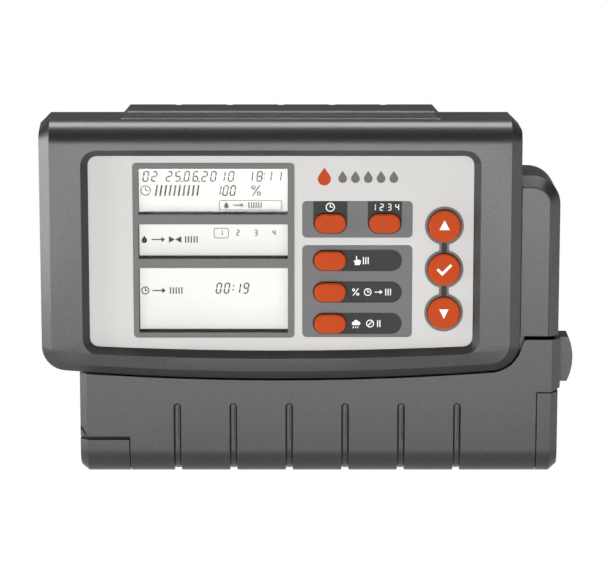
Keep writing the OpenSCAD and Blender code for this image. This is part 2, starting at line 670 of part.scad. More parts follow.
module cable_clamp() color([0.85,0.85,0.83]) difference() {
  box([-57,57], [-12.2,-9.85], [-55,-50]);
  rods_y(clamp_screws_at, 1.2, -15, -8, 20);
  rods_y(clamp_screws_at, 2.3, -15, -11.0, 28);
  for (x=cables_x) box([x-3.5,x+3.5], [-10.2,-9.8], [-56,-49]);
}
// turned profile: [radius,z]
module cable_grommets() color(black) for (x=cables_x) translate([x,cable_y,0])
  rotate_extrude($fn=36) polygon([[2.6,-62.0],[4.4,-62.0],[4.9,-61.25],[3.95,-61.25],
    [3.95,-58.75],[4.7,-58.75],[4.2,-57.6],[2.6,-57.6]]);

// ---------------- terminal cover ----------------
cover_x0 = -76.6; // ends of the rounded foot
cover_x1 = 88.1;
flank_x = 97.9;   // right flank of the cover
grooves_x = [for (i=[0:5]) groove_x0+groove_pitch*i];
module cover_outline() polygon(concat(
  [[cover_x0,-70],[cover_x0,-45.5],[-base_half_w,-45.5],
    [-base_half_w,bow_z-cover_gap+pow(-base_half_w-bow_x,2)/(2*bow_r)]],
  [for (p=unit_outline(-cover_gap, 60)) if (p[0] > -base_half_w+0.5 && p[1] < -6.4) p],
  [[82.62,-6.2],[83.05,-5.05],[84.0,-4.7],[flank_x,-4.7],[flank_x,-24.6],
    [97.3,-26.0],[95.9,-26.6],[cover_x1,-26.6],[cover_x1,-70]]));
// groove with sloping sides, round upper end and a run around the foot
module groove_cut(x) {
  outer = 1.75; // half widths
  inner = 0.85;
  box([x+0.3,x+0.95], [base_y-1,base_y+4.0], [-45.9,-33.2]);
  translate([x,0,hinge_z-0.01]) linear_extrude(height=-32.5-hinge_z)
    polygon([[-outer,base_y-0.4],[outer,base_y-0.4],[inner,base_y+1.4],[-inner,base_y+1.4]]);
  translate([x,base_y-0.4,-32.51]) rotate([-90,0,0])
    cylinder(r1=outer,r2=inner,h=1.8,$fn=28);
  intersection() {
    translate([0,hinge_y,hinge_z]) rotate([0,90,0]) rotate_extrude($fn=96)
      polygon([[cover_r-1.4,x-inner],[cover_r+0.4,x-outer],
        [cover_r+0.4,x+outer],[cover_r-1.4,x+inner]]);
    box([x-3,x+3], [hinge_y-20,hinge_y+20], [hinge_z-20,hinge_z]);
  }
}
module cover_foot() difference() {
  rod_x(hinge, cover_r, cover_x0, cover_x1, 96);
  rod_x(hinge, cover_r-2.2, -77, 89, 96);
  box([-80,90], [hinge_y-20,hinge_y+20], [hinge_z,hinge_z+20]);
  prism_x(-80, 90) polygon([hinge,hinge+30*[cos(55),-sin(55)],hinge+[30,1]]);
}
module cover_skin() difference() {
  intersection() {
    union() {
      box([-base_half_w,flank_x], [base_y,base_y+2.2], [hinge_z,0]);
      cover_foot();
    }
    prism_y(-50, 0) cover_outline();
  }
  for (x=grooves_x) groove_cut(x);
}
// cuts a flank; outline in x,y
module flank_cut(points) translate([0,0,-100]) linear_extrude(height=100) polygon(points);
module terminal_cover() color(shell_grey) difference() {
  union() {
    cover_skin();
    // thickening behind the grooves
    for (x=grooves_x) box([x-2.6,x+2.6], [base_y+2.1,base_y+4.6], [hinge_z+4,-30]);
    // left flank
    box([-base_half_w,-base_half_w+2.2], [base_y+1,-26], [-37.5,-19]);
    box([-base_half_w,-base_half_w+2.2], [base_y+1,base_y+4.6], [-45.4,-37.4]);
    // right flank with the striker that the latch holds
    prism_y(base_y+1, -27.4) intersection() {
      cover_outline();
      translate([flank_x-2.2,-30]) square([2.2,26]);
    }
    box([94.3,96], [-28.9,-27.5], [-18,-10]);
    // end discs that take the hinge pins
    for (x=[[cover_x0,-74.2],[85.7,cover_x1]]) {
      rod_x(hinge, cover_r-0.5, x[0], x[1], 64);
      box(x, [base_y+1,base_y+7], [hinge_z,hinge_z+15]);
    }
    // stiffening rib behind the top edge
    box([-90,78], [base_y+2.1,base_y+4.6], [-26.4,-25]);
  }
  // room to swing over the corner posts
  rod_x(hinge, 12.15, -110, -76.9, 72);
  rod_x(hinge, 26.2, 88.3, 110, 96);
  // hinge pin bores
  rod_x(hinge, pin_r+0.05, -78, -73, 40);
  rod_x(hinge, pin_r+0.05, 84, 89, 40);
  // chamfered flanks
  flank_cut([[-base_half_w-1,base_y-1],[-base_half_w+3.1,base_y-1],
    [-base_half_w+3.1,base_y],[-base_half_w,base_y+3.2],[-base_half_w-1,base_y+3.2]]);
  flank_cut([[99,base_y-1],[94.3,base_y-1],[94.3,base_y],[flank_x,base_y+3.6],[99,base_y+3.6]]);
}
module hinge_pins() color([0.7,0.7,0.7]) {
  rod_x(hinge, pin_r, -83.5, -73.5, 40);
  rod_x(hinge, pin_r, 85.0, 94.5, 40);
}

// ---------------- latch ----------------
spring_axis = [-19,-14.3]; // y,z
module latch_button() color(back_grey) difference() {
  union() {
    // curved finger pad and its shank
    intersection() {
      box([90.5,110], [-25,-13], [-23.8,-5.4]);
      rod_y([81.4,-14.0], 22, -26, -12, 120);
    }
    // flange that keeps it in the wall
    box([90.5,94.5], [-25.9,-12.1], [-25.9,-3.75]);
    // hook, drawn just short of the cover's striker
    box([91.6,94.15], [-31.4,-24.9], [-18,-10]);
  }
  rod_x(spring_axis, 3.2, 90, 95, 32);
}
module latch_spring() color([0.75,0.75,0.75]) {
  turn_steps = 16;
  sides = 6; // of the wire
  wire_r = 0.33;
  coil_r = 2.5;
  pitch = 1.35;
  steps = 6*turn_steps; // six turns
  points = [for (i=[0:steps], j=[0:sides-1])
    let(turn = 360*i/turn_steps, around = 360*j/sides, r = coil_r+wire_r*cos(around))
    [83.75+pitch*i/turn_steps+wire_r*sin(around),
      spring_axis[0]+r*cos(turn), spring_axis[1]+r*sin(turn)]];
  faces = concat([[for (j=[0:sides-1]) j]],
    [for (i=[0:steps-1], j=[0:sides-1]) let(k = (j+1)%sides)
      [i*sides+j,(i+1)*sides+j,(i+1)*sides+k,i*sides+k]],
    [[for (j=[sides-1:-1:0]) steps*sides+j]]);
  polyhedron(points=points,faces=faces,convexity=6);
}

NODES = ["base_shell","wall_plate","wall_plate_screws","base_face_plate","base_board",
 "base_screws","dock_socket","dock_contacts","valve_terminals","power_terminals",
 "sensor_terminals","terminal_screws","valve_triacs","supply_fuse","fuse_clips",
 "surge_varistor","supply_capacitor","cable_entry_bar","cable_clamp","cable_grommets",
 "hinge_pins","terminal_cover","latch_button","latch_spring","control_front_shell",
 "control_back_shell","control_seal","case_screws","battery_lid","battery","battery_studs",
 "battery_clip","battery_leads","battery_plug","face_panel","key_field_upper",
 "key_field_lower","key_field_round","display_frame","display_panes","lcd_glass",
 "lcd_rear_glass","lcd_carrier","lcd_contact_strips","key_time","key_channel","key_manual",
 "key_percent","key_rain","key_up","key_ok","key_down","key_mat","key_switches",
 "display_board","board_screws","controller_chip","clock_crystal","board_capacitors",
 "dock_plug"];
// piece to draw
node = "all";
function drawn(name) = node == "all" || node == name;

if (drawn("base_shell")) base_shell();
if (drawn("wall_plate")) wall_plate();
if (drawn("wall_plate_screws")) wall_plate_screws();
if (drawn("base_face_plate")) base_face_plate();
if (drawn("base_board")) base_board();
if (drawn("base_screws")) base_screws();
if (drawn("dock_socket")) dock_socket();
if (drawn("dock_contacts")) dock_contacts();
if (drawn("valve_terminals")) valve_terminals();
if (drawn("power_terminals")) power_terminals();
if (drawn("sensor_terminals")) sensor_terminals();
if (drawn("terminal_screws")) terminal_screws();
if (drawn("valve_triacs")) valve_triacs();
if (drawn("supply_fuse")) supply_fuse();
if (drawn("fuse_clips")) fuse_clips();
if (drawn("surge_varistor")) surge_varistor();
if (drawn("supply_capacitor")) supply_capacitor();
if (drawn("cable_clamp")) cable_clamp();
if (drawn("cable_entry_bar")) cable_entry_bar();
if (drawn("cable_grommets")) cable_grommets();
if (drawn("hinge_pins")) hinge_pins();
if (drawn("terminal_cover")) terminal_cover();
if (drawn("latch_button")) latch_button();
if (drawn("latch_spring")) latch_spring();
if (drawn("control_front_shell")) control_front_shell();
if (drawn("control_back_shell")) control_back_shell();
if (drawn("control_seal")) control_seal();
if (drawn("case_screws")) case_screws();
if (drawn("battery_lid")) battery_lid();
if (drawn("battery")) battery();
if (drawn("battery_studs")) battery_studs();
if (drawn("battery_clip")) battery_clip();
if (drawn("battery_leads")) battery_leads();
if (drawn("battery_plug")) battery_plug();
if (drawn("face_panel")) face_panel();
if (drawn("key_field_upper")) key_field_upper();
if (drawn("key_field_lower")) key_field_lower();
if (drawn("key_field_round")) key_field_round();
if (drawn("display_frame")) display_frame();
if (drawn("display_panes")) display_panes();
if (drawn("lcd_glass")) lcd_glass();
if (drawn("lcd_rear_glass")) lcd_rear_glass();
if (drawn("lcd_carrier")) lcd_carrier();
if (drawn("lcd_contact_strips")) lcd_contact_strips();
if (drawn("key_time")) key_time();
if (drawn("key_channel")) key_channel();
if (drawn("key_manual")) key_manual();
if (drawn("key_percent")) key_percent();
if (drawn("key_rain")) key_rain();
if (drawn("key_up")) key_up();
if (drawn("key_ok")) key_ok();
if (drawn("key_down")) key_down();
if (drawn("key_mat")) key_mat();
if (drawn("key_switches")) key_switches();
if (drawn("display_board")) display_board();
if (drawn("board_screws")) board_screws();
if (drawn("controller_chip")) controller_chip();
if (drawn("clock_crystal")) clock_crystal();
if (drawn("board_capacitors")) board_capacitors();
if (drawn("dock_plug")) dock_plug();
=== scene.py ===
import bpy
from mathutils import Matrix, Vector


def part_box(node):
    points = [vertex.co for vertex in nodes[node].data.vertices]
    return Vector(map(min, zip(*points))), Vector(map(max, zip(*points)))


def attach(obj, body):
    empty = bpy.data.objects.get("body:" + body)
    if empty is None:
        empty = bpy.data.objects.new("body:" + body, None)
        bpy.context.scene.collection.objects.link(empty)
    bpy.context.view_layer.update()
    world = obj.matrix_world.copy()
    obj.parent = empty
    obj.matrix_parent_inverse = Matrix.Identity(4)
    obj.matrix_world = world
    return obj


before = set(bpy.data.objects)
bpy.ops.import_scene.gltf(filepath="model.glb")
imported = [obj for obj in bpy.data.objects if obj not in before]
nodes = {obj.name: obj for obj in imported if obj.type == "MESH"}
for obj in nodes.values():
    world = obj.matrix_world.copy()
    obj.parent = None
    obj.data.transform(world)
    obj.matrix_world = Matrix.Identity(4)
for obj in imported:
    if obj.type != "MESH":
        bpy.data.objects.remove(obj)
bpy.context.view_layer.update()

import math

import bmesh
import bpy
from mathutils import Matrix, Vector

MM = 0.001

SMOOTH_ANGLE = math.radians(28)  # edges flatter than this are shaded smooth
WELD_DISTANCE = 1e-6
MESH_MERGE_DISTANCE = 1e-7

PRINT = 0.03           # thickness of one printed layer, mm
SEGMENT_THICK = 0.04   # thickness of the display segments, mm
SEGMENT_FRONT = 0.05   # how far their front stands before the display glass, mm
LEAN = 0.16            # sideways lean of display digits per unit of height
CONTROL_UNIT = "control_unit"


# ------------------------------------------------------------------ node helpers


def add_node(tree, kind, inputs=None, **settings):
    """Add a node; each input, by name or index, takes a value or the socket that feeds it."""
    node = tree.nodes.new(kind)
    for key, value in settings.items():
        setattr(node, key, value)
    for key, value in (inputs or {}).items():
        if isinstance(value, bpy.types.NodeSocket):
            tree.links.new(value, node.inputs[key])
        else:
            node.inputs[key].default_value = value
    return node


def math_node(tree, operation, *values):
    node = add_node(tree, "ShaderNodeMath", dict(enumerate(values)), operation=operation)
    return node.outputs[0]


def noise(tree, **inputs):
    return add_node(tree, "ShaderNodeTexNoise", inputs).outputs["Fac"]


def map_range(tree, value, to_min, to_max, from_min=0.0, from_max=1.0):
    return add_node(tree, "ShaderNodeMapRange", {
        "Value": value, "From Min": from_min, "From Max": from_max,
        "To Min": to_min, "To Max": to_max}).outputs[0]


def scale_colour(tree, colour, factor):
    inputs = {0: colour, "Scale": factor}
    return add_node(tree, "ShaderNodeVectorMath", inputs, operation="SCALE").outputs[0]


def mix_shaders(tree, factor, first, second):
    inputs = {0: factor, 1: first.outputs[0], 2: second.outputs[0]}
    return add_node(tree, "ShaderNodeMixShader", inputs).outputs[0]


def object_place(tree):
    return add_node(tree, "ShaderNodeTexCoord").outputs["Object"]


# ------------------------------------------------------------------ materials


def linear(srgb):
    """sRGB 0..255 to linear 0..1."""
    parts = [value / 255.0 for value in srgb]
    return [v / 12.92 if v <= 0.04045 else ((v + 0.055) / 1.055) ** 2.4 for v in parts]


def empty_material(name):
    made = bpy.data.materials.new(name)
    made.use_nodes = True
    made.node_tree.nodes.clear()
    return made, made.node_tree


def vary(tree, fac, amount, middle=1.0):
    """middle * (1 +- amount), following a noise of 0..1."""
    return math_node(tree, "MULTIPLY_ADD", fac, 2 * amount * middle, (1.0 - amount) * middle)


def paint_edge_highlight(tree, colour, base, rounded, edge):
    """Painted highlight: lighten the colour where the rounded normal leaves the face normal."""
    geometry = add_node(tree, "ShaderNodeNewGeometry")
    agreement = add_node(tree, "ShaderNodeVectorMath",
                         {0: rounded, 1: geometry.outputs["Normal"]}, operation="DOT_PRODUCT")
    amount = map_range(tree, agreement.outputs["Value"], from_min=0.995, from_max=0.90,
                       to_min=0.0, to_max=edge)
    light = [min(1, part * 2.2 + 0.06) for part in base] + [1]
    # inputs 6 and 7 and output 2 are the colour sockets of the mix node
    return add_node(tree, "ShaderNodeMix", {0: amount, 6: colour, 7: light},
                    data_type="RGBA").outputs[2]


def surface(name, srgb, roughness=0.45, grain=1800.0, grain_bump=0.10, grain_tint=0.05,
            clouds=0.05, edge=0.18, bevel=0.00035, metallic=0.0, specular=0.5,
            specular_grain=0.0, coat=0.0, emission=0.0, streak=None,
            gradient_axis=None, gradient=None, painted_shade_specular=False):
    """A moulded, machined or printed surface in the object's own coordinates.

    grain is the scale of the fine noise; grain_bump, grain_tint and specular_grain are its
    effect on relief, brightness and specular. clouds is a broad brightness variation, edge
    a painted highlight that lightens edges rounded by bevel (m), streak a stretch of the grain.
    gradient maps gradient_axis to brightness, and with painted_shade_specular to specular too
    for painted shade. emission is a painted glow of the colour."""
    base = linear(srgb)
    made, tree = empty_material(name)
    place = object_place(tree)
    grain_place = place
    if streak:
        mapping = add_node(tree, "ShaderNodeMapping", {"Vector": place, "Scale": streak})
        grain_place = mapping.outputs[0]
    fine = noise(tree, Scale=grain, Detail=3.0, Vector=grain_place)
    broad = noise(tree, Scale=22.0, Detail=4.0, Vector=place)
    brightness = math_node(tree, "MULTIPLY", vary(tree, fine, grain_tint),
                           vary(tree, broad, clouds))
    if gradient:
        axes = add_node(tree, "ShaderNodeSeparateXYZ", {0: place})
        fade = map_range(tree, axes.outputs[gradient_axis], **gradient)
        brightness = math_node(tree, "MULTIPLY", brightness, fade)
    colour = scale_colour(tree, base, brightness)

    rounded = add_node(tree, "ShaderNodeBevel", {"Radius": bevel}, samples=4).outputs[0]
    # painted highlight: edges rounded by the bevel node are lightened in the colour
    if edge > 0:
        colour = paint_edge_highlight(tree, colour, base, rounded, edge)
    bump = add_node(tree, "ShaderNodeBump", {
        "Strength": grain_bump, "Distance": 0.0001, "Height": fine, "Normal": rounded})
    shader = add_node(tree, "ShaderNodeBsdfPrincipled", {
        "Base Color": colour,
        "Roughness": math_node(tree, "MULTIPLY_ADD", broad, 0.08, roughness - 0.04),
        "Normal": bump.outputs[0],
        "Metallic": metallic,
        "Specular IOR Level": specular,
        "Coat Weight": coat,
        "Coat Roughness": 0.2})
    # painted glow: the emission lights the surface up by itself
    if emission > 0:
        tree.links.new(colour, shader.inputs["Emission Color"])
        shader.inputs["Emission Strength"].default_value = emission
    if specular_grain > 0:
        varied = vary(tree, fine, specular_grain, middle=specular)
        tree.links.new(varied, shader.inputs["Specular IOR Level"])
    # painted shade: the specular fades with the gradient too, so the walls go black
    if painted_shade_specular:
        faded = math_node(tree, "MULTIPLY", fade, specular)
        tree.links.new(faded, shader.inputs["Specular IOR Level"])
    add_node(tree, "ShaderNodeOutputMaterial", {0: shader.outputs[0]})
    return made


def clear_material(name, tint, gloss):
    """A thin clear pane: mostly transparent, with a weak, uneven glossy reflection."""
    made, tree = empty_material(name)
    clear = add_node(tree, "ShaderNodeBsdfTransparent", {0: (*tint, 1)})
    glossy = add_node(tree, "ShaderNodeBsdfGlossy", {"Roughness": 0.06})
    dust = noise(tree, Scale=300.0, Vector=object_place(tree))
    amount = map_range(tree, dust, to_min=gloss * 0.6, to_max=gloss * 1.4)
    add_node(tree, "ShaderNodeOutputMaterial", {0: mix_shaders(tree, amount, clear, glossy)})
    return made


PAINT = dict(specular=0.12, roughness=0.5, grain=2600)
INK = dict(roughness=0.5, grain=3000, grain_bump=0.03, edge=0.0)

HOUSING = surface("housing_plastic", (37, 36, 36), roughness=0.33, grain=1100, grain_bump=0.32,
                  grain_tint=0.16, clouds=0.06, edge=0.30, bevel=0.0004, specular_grain=0.28)
HOUSING_DARK = surface("housing_dark_plastic", (42, 42, 43), roughness=0.42, grain=1500,
                       grain_bump=0.22, grain_tint=0.10, edge=0.25)
PANEL = surface("panel_light_grey", (192, 190, 188), grain_bump=0.05, grain_tint=0.015,
                clouds=0.012, edge=0.05, bevel=0.0002, **PAINT)
FIELD = surface("field_mid_grey", (105, 104, 104), grain_bump=0.05, grain_tint=0.03,
                clouds=0.02, edge=0.06, bevel=0.00015, **PAINT)
# painted shade: the gradient blacks out the walls behind the front of the display frame, in
# colour and in specular
FRAME_GREY = surface("frame_mid_grey", (105, 105, 104), specular=0.12, grain=2600,
                     grain_bump=0.05, grain_tint=0.03, clouds=0.02, edge=0.0, bevel=0.00015,
                     gradient_axis="Y", painted_shade_specular=True,
                     gradient=dict(from_min=-0.0371, from_max=-0.0366, to_min=1.0, to_max=0.02))
LABEL = surface("label_dark_grey", (50, 49, 50), grain_bump=0.04, grain_tint=0.04,
                clouds=0.03, edge=0.0, **PAINT)
KEY = surface("key_orange_rubber", (171, 62, 12), specular=0.07, roughness=0.42, grain=2200,
              grain_bump=0.06, grain_tint=0.03, clouds=0.04, edge=0.22, bevel=0.00045)
WHITE_INK = surface("ink_white", (245, 244, 240), specular=0.1, grain_tint=0.02, clouds=0.02,
                    **INK)
GREY_INK = surface("ink_grey", (100, 98, 96), specular=0.12, grain_tint=0.03, clouds=0.03,
                   **INK)
# painted glow: the display is no lamp, yet its emission lights it up; its colour also grows
# slightly brighter towards the top
LCD = surface("lcd_front", (161, 160, 158), specular=0.1, roughness=0.35, grain=4000,
              grain_bump=0.02, grain_tint=0.01, clouds=0.02, edge=0.0, emission=1.60,
              gradient_axis="Z",
              gradient=dict(from_min=-0.004, from_max=0.068, to_min=0.97, to_max=1.03))
LCD_BACK = surface("lcd_rear", (150, 155, 145), roughness=0.3, grain=3000, grain_bump=0.02,
                   grain_tint=0.02, clouds=0.03)
SEGMENT = surface("lcd_segments", (44, 50, 40), specular=0.1, roughness=0.35, grain=3000,
                  grain_bump=0.02, edge=0.0)
BOARD = surface("board_green", (22, 92, 48), roughness=0.35, grain=900, grain_tint=0.08,
                clouds=0.10, edge=0.1, coat=0.3)
CHIP = surface("chip_black", (32, 32, 34), roughness=0.5, grain=2500, grain_bump=0.15,
               grain_tint=0.15, clouds=0.08)
STEEL = surface("zinc_steel", (176, 176, 178), roughness=0.32, grain=900, grain_bump=0.08,
                grain_tint=0.08, clouds=0.08, metallic=1.0, streak=(1, 1, 6))
BRASS = surface("contact_brass", (206, 170, 96), roughness=0.28, grain=1200, grain_bump=0.05,
                grain_tint=0.06, clouds=0.08, metallic=1.0)
RUBBER = surface("rubber_black", (34, 34, 34), roughness=0.7, grain=1400, grain_bump=0.25,
                 grain_tint=0.15, clouds=0.1, edge=0.1)
SILICONE = surface("silicone_grey", (178, 178, 172), roughness=0.6, grain=1500,
                   grain_bump=0.08, grain_tint=0.04)
TERMINAL = surface("terminal_green", (36, 122, 66), roughness=0.38, grain=1600, clouds=0.06,
                   edge=0.25)
JACKET = surface("battery_jacket", (52, 54, 58), roughness=0.25, grain=600, grain_bump=0.04,
                 grain_tint=0.06, clouds=0.06, coat=0.5)
LEAD = surface("lead_red", (168, 32, 28), roughness=0.4, grain=1500, grain_bump=0.06)
WHITE_PLASTIC = surface("white_plastic", (226, 225, 220), roughness=0.4, grain_bump=0.08,
                        grain_tint=0.02, clouds=0.03, edge=0.1)
BLUE = surface("ceramic_blue", (40, 66, 140), roughness=0.3, grain=1500, grain_tint=0.08,
               clouds=0.08, coat=0.4)
SLEEVE = surface("capacitor_sleeve", (30, 34, 52), roughness=0.28, grain=1500,
                 grain_bump=0.05, grain_tint=0.08, clouds=0.08, coat=0.4)
SPRING = surface("spring_wire", (160, 160, 162), roughness=0.25, grain=1500, grain_bump=0.05,
                 grain_tint=0.08, metallic=1.0)
PANE = clear_material("clear_pane", tint=(0.985, 0.99, 0.98), gloss=0.008)
FUSE = clear_material("fuse_glass", tint=(0.9, 0.94, 0.93), gloss=0.12)

LOOK = {
    HOUSING: ["base_shell", "base_face_plate", "terminal_cover", "control_front_shell",
              "latch_button", "cable_entry_bar"],
    HOUSING_DARK: ["wall_plate", "control_back_shell", "battery_lid"],
    PANEL: ["face_panel"],
    FIELD: ["key_field_upper", "key_field_lower", "key_field_round"],
    FRAME_GREY: ["display_frame"],
    KEY: ["key_time", "key_channel", "key_manual", "key_percent", "key_rain", "key_up",
          "key_ok", "key_down"],
    PANE: ["display_panes"],
    LCD: ["lcd_glass"],
    LCD_BACK: ["lcd_rear_glass"],
    BOARD: ["base_board", "display_board"],
    CHIP: ["dock_socket", "valve_triacs", "battery_clip", "key_switches", "controller_chip",
           "dock_plug"],
    STEEL: ["wall_plate_screws", "base_screws", "terminal_screws", "hinge_pins", "case_screws",
            "battery_studs", "board_screws", "clock_crystal"],
    BRASS: ["dock_contacts", "fuse_clips"],
    RUBBER: ["cable_grommets", "control_seal"],
    SILICONE: ["lcd_contact_strips", "key_mat"],
    TERMINAL: ["valve_terminals", "power_terminals", "sensor_terminals"],
    JACKET: ["battery"],
    LEAD: ["battery_leads"],
    WHITE_PLASTIC: ["battery_plug", "lcd_carrier", "cable_clamp"],
    BLUE: ["surge_varistor"],
    SLEEVE: ["supply_capacitor", "board_capacitors"],
    SPRING: ["latch_spring"],
    FUSE: ["supply_fuse"],
}


# ------------------------------------------------------------------ smooth shading


def smooth_group():
    """A modifier group that smooths all faces and keeps the sharp edges."""
    tree = bpy.data.node_groups.new("smooth_by_angle", "GeometryNodeTree")
    for direction in ("INPUT", "OUTPUT"):
        tree.interface.new_socket("Geometry", in_out=direction,
                                  socket_type="NodeSocketGeometry")
    source = add_node(tree, "NodeGroupInput")
    angle = add_node(tree, "GeometryNodeInputMeshEdgeAngle").outputs["Unsigned Angle"]
    flat = add_node(tree, "FunctionNodeCompare", {0: angle, 1: SMOOTH_ANGLE},
                    data_type="FLOAT", operation="LESS_THAN")
    faces = add_node(tree, "GeometryNodeSetShadeSmooth",
                     {"Geometry": source.outputs[0], "Shade Smooth": True}, domain="FACE")
    edges = add_node(tree, "GeometryNodeSetShadeSmooth",
                     {"Geometry": faces.outputs[0], "Shade Smooth": flat.outputs[0]},
                     domain="EDGE")
    add_node(tree, "NodeGroupOutput", {0: edges.outputs[0]})
    return tree


SMOOTH = smooth_group()

for look, names in LOOK.items():
    for name in names:
        piece = nodes[name]
        piece.data.materials.clear()
        piece.data.materials.append(look)
        piece.modifiers.new("weld", "WELD").merge_threshold = WELD_DISTANCE
        piece.modifiers.new("smooth", "NODES").node_group = SMOOTH


# ------------------------------------------------------------------ thin plates


def plate(name, loops, y_front, thickness, material, body):
    """A flat piece with the outlines loops, lists of (x, z) in mm; inner ones are holes."""
    curve = bpy.data.curves.new(name, "CURVE")
    curve.dimensions = "2D"
    curve.fill_mode = "BOTH"
    curve.extrude = thickness / 2 * MM
    for loop in loops:
        spline = curve.splines.new("POLY")
        spline.points.add(len(loop) - 1)
        for point, (x, z) in zip(spline.points, loop):
            point.co = (x * MM, z * MM, 0, 1)
        spline.use_cyclic_u = True
    drawn = bpy.data.objects.new(name + "_c", curve)
    bpy.context.collection.objects.link(drawn)
    depsgraph = bpy.context.evaluated_depsgraph_get()
    mesh = bpy.data.meshes.new_from_object(drawn.evaluated_get(depsgraph))
    bpy.data.objects.remove(drawn)
    bpy.data.curves.remove(curve)
    # stand the drawing up in the XZ plane
    mesh.transform(Matrix.Rotation(math.radians(90), 4, "X"))
    mesh.transform(Matrix.Translation((0, (y_front + thickness / 2) * MM, 0)))
    bm = bmesh.new()
    bm.from_mesh(mesh)
    bmesh.ops.remove_doubles(bm, verts=bm.verts, dist=MESH_MERGE_DISTANCE)
    bmesh.ops.recalc_face_normals(bm, faces=bm.faces)
    bm.to_mesh(mesh)
    bm.free()
    mesh.name = name
    piece = bpy.data.objects.new(name, mesh)
    bpy.context.collection.objects.link(piece)
    mesh.materials.clear()
    mesh.materials.append(material)
    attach(piece, body)


def front_of(node):
    """The y of a CAD node's front, mm."""
    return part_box(node)[0].y / MM


Y_LCD = front_of("lcd_glass")
Y_FIELD = front_of("key_field_upper")
Y_PANEL = front_of("face_panel")


def lcd_sign(name, loops):
    plate(name, loops, Y_LCD - SEGMENT_FRONT, SEGMENT_THICK, SEGMENT, CONTROL_UNIT)


def field_label(name, loops):
    plate(name, loops, Y_FIELD - PRINT, PRINT, LABEL, CONTROL_UNIT)


def white_sign(name, loops, body=CONTROL_UNIT, y_under=Y_FIELD - PRINT):
    """A sign in white ink, by default on top of a field label."""
    plate(name, loops, y_under - PRINT, PRINT, WHITE_INK, body)


# ------------------------------------------------------------------ outlines
# lists of (x, z) points in mm; sign functions return a list of outlines


def arc(x, z, radius, start, end, steps):
    angles = [math.radians(start + (end - start) * i / steps) for i in range(steps + 1)]
    return [(x + radius * math.cos(a), z + radius * math.sin(a)) for a in angles]


def rounded_box(x0, z0, x1, z1, radius, steps=8):
    r = min(radius, (x1 - x0) / 2 - 1e-3, (z1 - z0) / 2 - 1e-3)
    return (arc(x1 - r, z0 + r, r, -90, 0, steps) + arc(x1 - r, z1 - r, r, 0, 90, steps)
            + arc(x0 + r, z1 - r, r, 90, 180, steps) + arc(x0 + r, z0 + r, r, 180, 270, steps))


def box_frame(x0, z0, x1, z1, radius, line=0.26):
    inner = rounded_box(x0 + line, z0 + line, x1 - line, z1 - line, max(radius - line, 0.05))
    return [rounded_box(x0, z0, x1, z1, radius), inner[::-1]]


def ring(x, z, radius, line, steps=32):
    outer, inner = (arc(x, z, r, 0, 360 - 360 / steps, steps - 1)
                    for r in (radius, radius - line))
    return [outer, inner[::-1]]


def stroke(points, width):
    """A polyline of the given width as one closed outline with mitred joints."""
    points = [Vector(point) for point in points]
    runs = [(b - a).normalized() for a, b in zip(points, points[1:])]
    left, right = [], []
    for i, (x, z) in enumerate(points):
        joined = runs[max(i - 1, 0):i + 1]
        along = sum(joined, Vector((0, 0))).normalized()
        across = Vector((-along.y, along.x))
        mitre = 1.0 / max(0.5, across.dot(Vector((-joined[0].y, joined[0].x))))
        dx, dz = (part * width / 2 * mitre for part in across)
        left.append((x + dx, z + dz))
        right.append((x - dx, z - dz))
    return left + right[::-1]


# lit segments: a top, b and c right, d bottom, e and f left, g middle
DIGIT_SEGMENTS = {"0": "abcdef", "1": "bc", "2": "abged", "3": "abgcd", "4": "fgbc",
                  "5": "afgcd", "6": "afgedc", "7": "abc", "8": "abcdefg", "9": "abcdfg"}


def digit(character, x, z, width, height, line, lean=LEAN):
    """A seven-segment digit with its lower left corner at x, z."""
    gap = line * 0.10
    half = line / 2
    middle, top, right = height / 2, height - half, width - half
    level = {"a": top, "g": middle, "d": half}
    upright = {"f": (half, middle, top), "e": (half, half, middle),
               "b": (right, middle, top), "c": (right, half, middle)}
    loops = []
    for segment in DIGIT_SEGMENTS[character]:
        if segment in level:
            v = level[segment]
            start, end = half + gap, right - gap
            points = [(start, v), (start + half, v + half), (end - half, v + half),
                      (end, v), (end - half, v - half), (start + half, v - half)]
        else:
            u, low, high = upright[segment]
            low += gap
            high -= gap
            points = [(u, low), (u + half, low + half), (u + half, high - half),
                      (u, high), (u - half, high - half), (u - half, low + half)]
        loops.append([(x + u + lean * v, z + v) for u, v in points])
    return loops


def row(text, x, z, width, height, line, pitch):
    """A row of digits; '.' and ':' sit between cells."""
    loops = []
    for character in text:
        if character == ".":
            left = x - 0.92
            loops.append(rounded_box(left, z - 0.12, left + 0.62, z + 0.5, 0.05, steps=2))
        elif character == ":":
            dot = 0.58
            for rise in (height * 0.28, height * 0.66):
                left, low = x - 0.95 + LEAN * rise, z + rise
                loops.append(rounded_box(left, low, left + dot, low + dot, 0.05, steps=2))
        else:
            loops += digit(character, x, z, width, height, line)
            x += pitch
    return loops


def channel_numbers(places, z, **size):
    """Upright digits 1 to 4 at the given x places."""
    return [loop for number, x in zip("1234", places)
            for loop in digit(number, x, z, lean=0.0, **size)]


def clock(x, z, radius, line):
    """Ring with two hands; the hands are one closed outline, clear of the ring."""
    half = line / 2
    hands = [(x - half, z + radius * 0.62), (x + half, z + radius * 0.62), (x + half, z + half),
             (x + radius * 0.5, z + half), (x + radius * 0.5, z - half), (x - half, z - half)]
    return ring(x, z, radius, line) + [hands]


def drop(x, z, width, height):
    """A water drop centred on x, standing on z."""
    r = width / 2
    turn = math.degrees(math.acos(min(1.0, r / (height - r))))
    return [[(x, z + height)] + arc(x, z + r, r, 90 + turn, 450 - turn, 20)]


